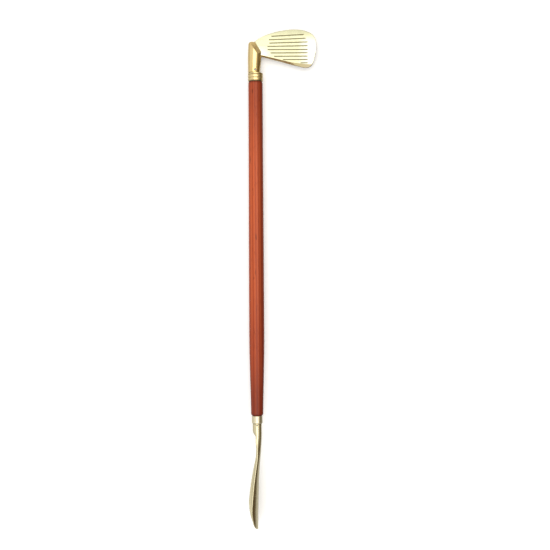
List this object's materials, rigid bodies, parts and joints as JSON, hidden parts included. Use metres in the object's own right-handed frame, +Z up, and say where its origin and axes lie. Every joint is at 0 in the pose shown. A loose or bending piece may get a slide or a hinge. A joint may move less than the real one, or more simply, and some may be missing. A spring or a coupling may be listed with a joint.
{
  "type": "long handled shoehorn",
  "caption": "Long shoehorn with a brass golf iron as its handle, a ribbed collar, a turned wood shaft and a curved brass blade.",
  "frame": {"origin": "on the ground under the middle of the bounding box, with the shoehorn lying down", "axes": "+Z up, +Y along the shaft towards the iron head, +X towards the toe of the iron, whose striking face looks up"},
  "size_m": [0.083, 0.5874, 0.0408],
  "materials": {
    "polished_brass": "polished",
    "turned_brass": "turned and polished",
    "threaded_steel": "machined",
    "lacquered_wood": "red-brown stain under clear lacquer"
  },
  "bodies": {
    "shaft": {"wood_shaft": "lacquered_wood", "upper_insert": "turned_brass", "lower_insert": "turned_brass"},
    "collar": {"ribbed_collar": "turned_brass"},
    "head": {"club_head": "polished_brass", "head_stud": "threaded_steel", "hosel_pin": "threaded_steel"},
    "ferrule": {"lower_ferrule": "turned_brass"},
    "blade": {"shoehorn_blade": "polished_brass", "blade_stud": "threaded_steel", "neck_pin": "threaded_steel"}
  },
  "joints": [
    {"name": "collar_lift", "type": "slide", "parent": "shaft", "child": "collar", "axis": [0, 0.9998, -0.0194], "range_m": [0, 0.015]},
    {"name": "head_unscrew", "type": "hinge", "parent": "collar", "child": "head", "pos_m": [-0.03062, 0.24269, 0.0097], "axis": [0, 0.9998, -0.0194], "range_deg": [0, 4320]},
    {"name": "ferrule_lift", "type": "slide", "parent": "shaft", "child": "ferrule", "axis": [0, -0.9998, 0.0194], "range_m": [0, 0.012]},
    {"name": "blade_unscrew", "type": "hinge", "parent": "ferrule", "child": "blade", "pos_m": [-0.03062, -0.17064, 0.01774], "axis": [0, -0.9998, 0.0194], "range_deg": [0, 4320]}
  ],
  "couplings": [
    {"joint": "collar_lift", "follows": "head_unscrew", "m_per_rad": 0.00019894},
    {"joint": "ferrule_lift", "follows": "blade_unscrew", "m_per_rad": 0.00015915}
  ]
}
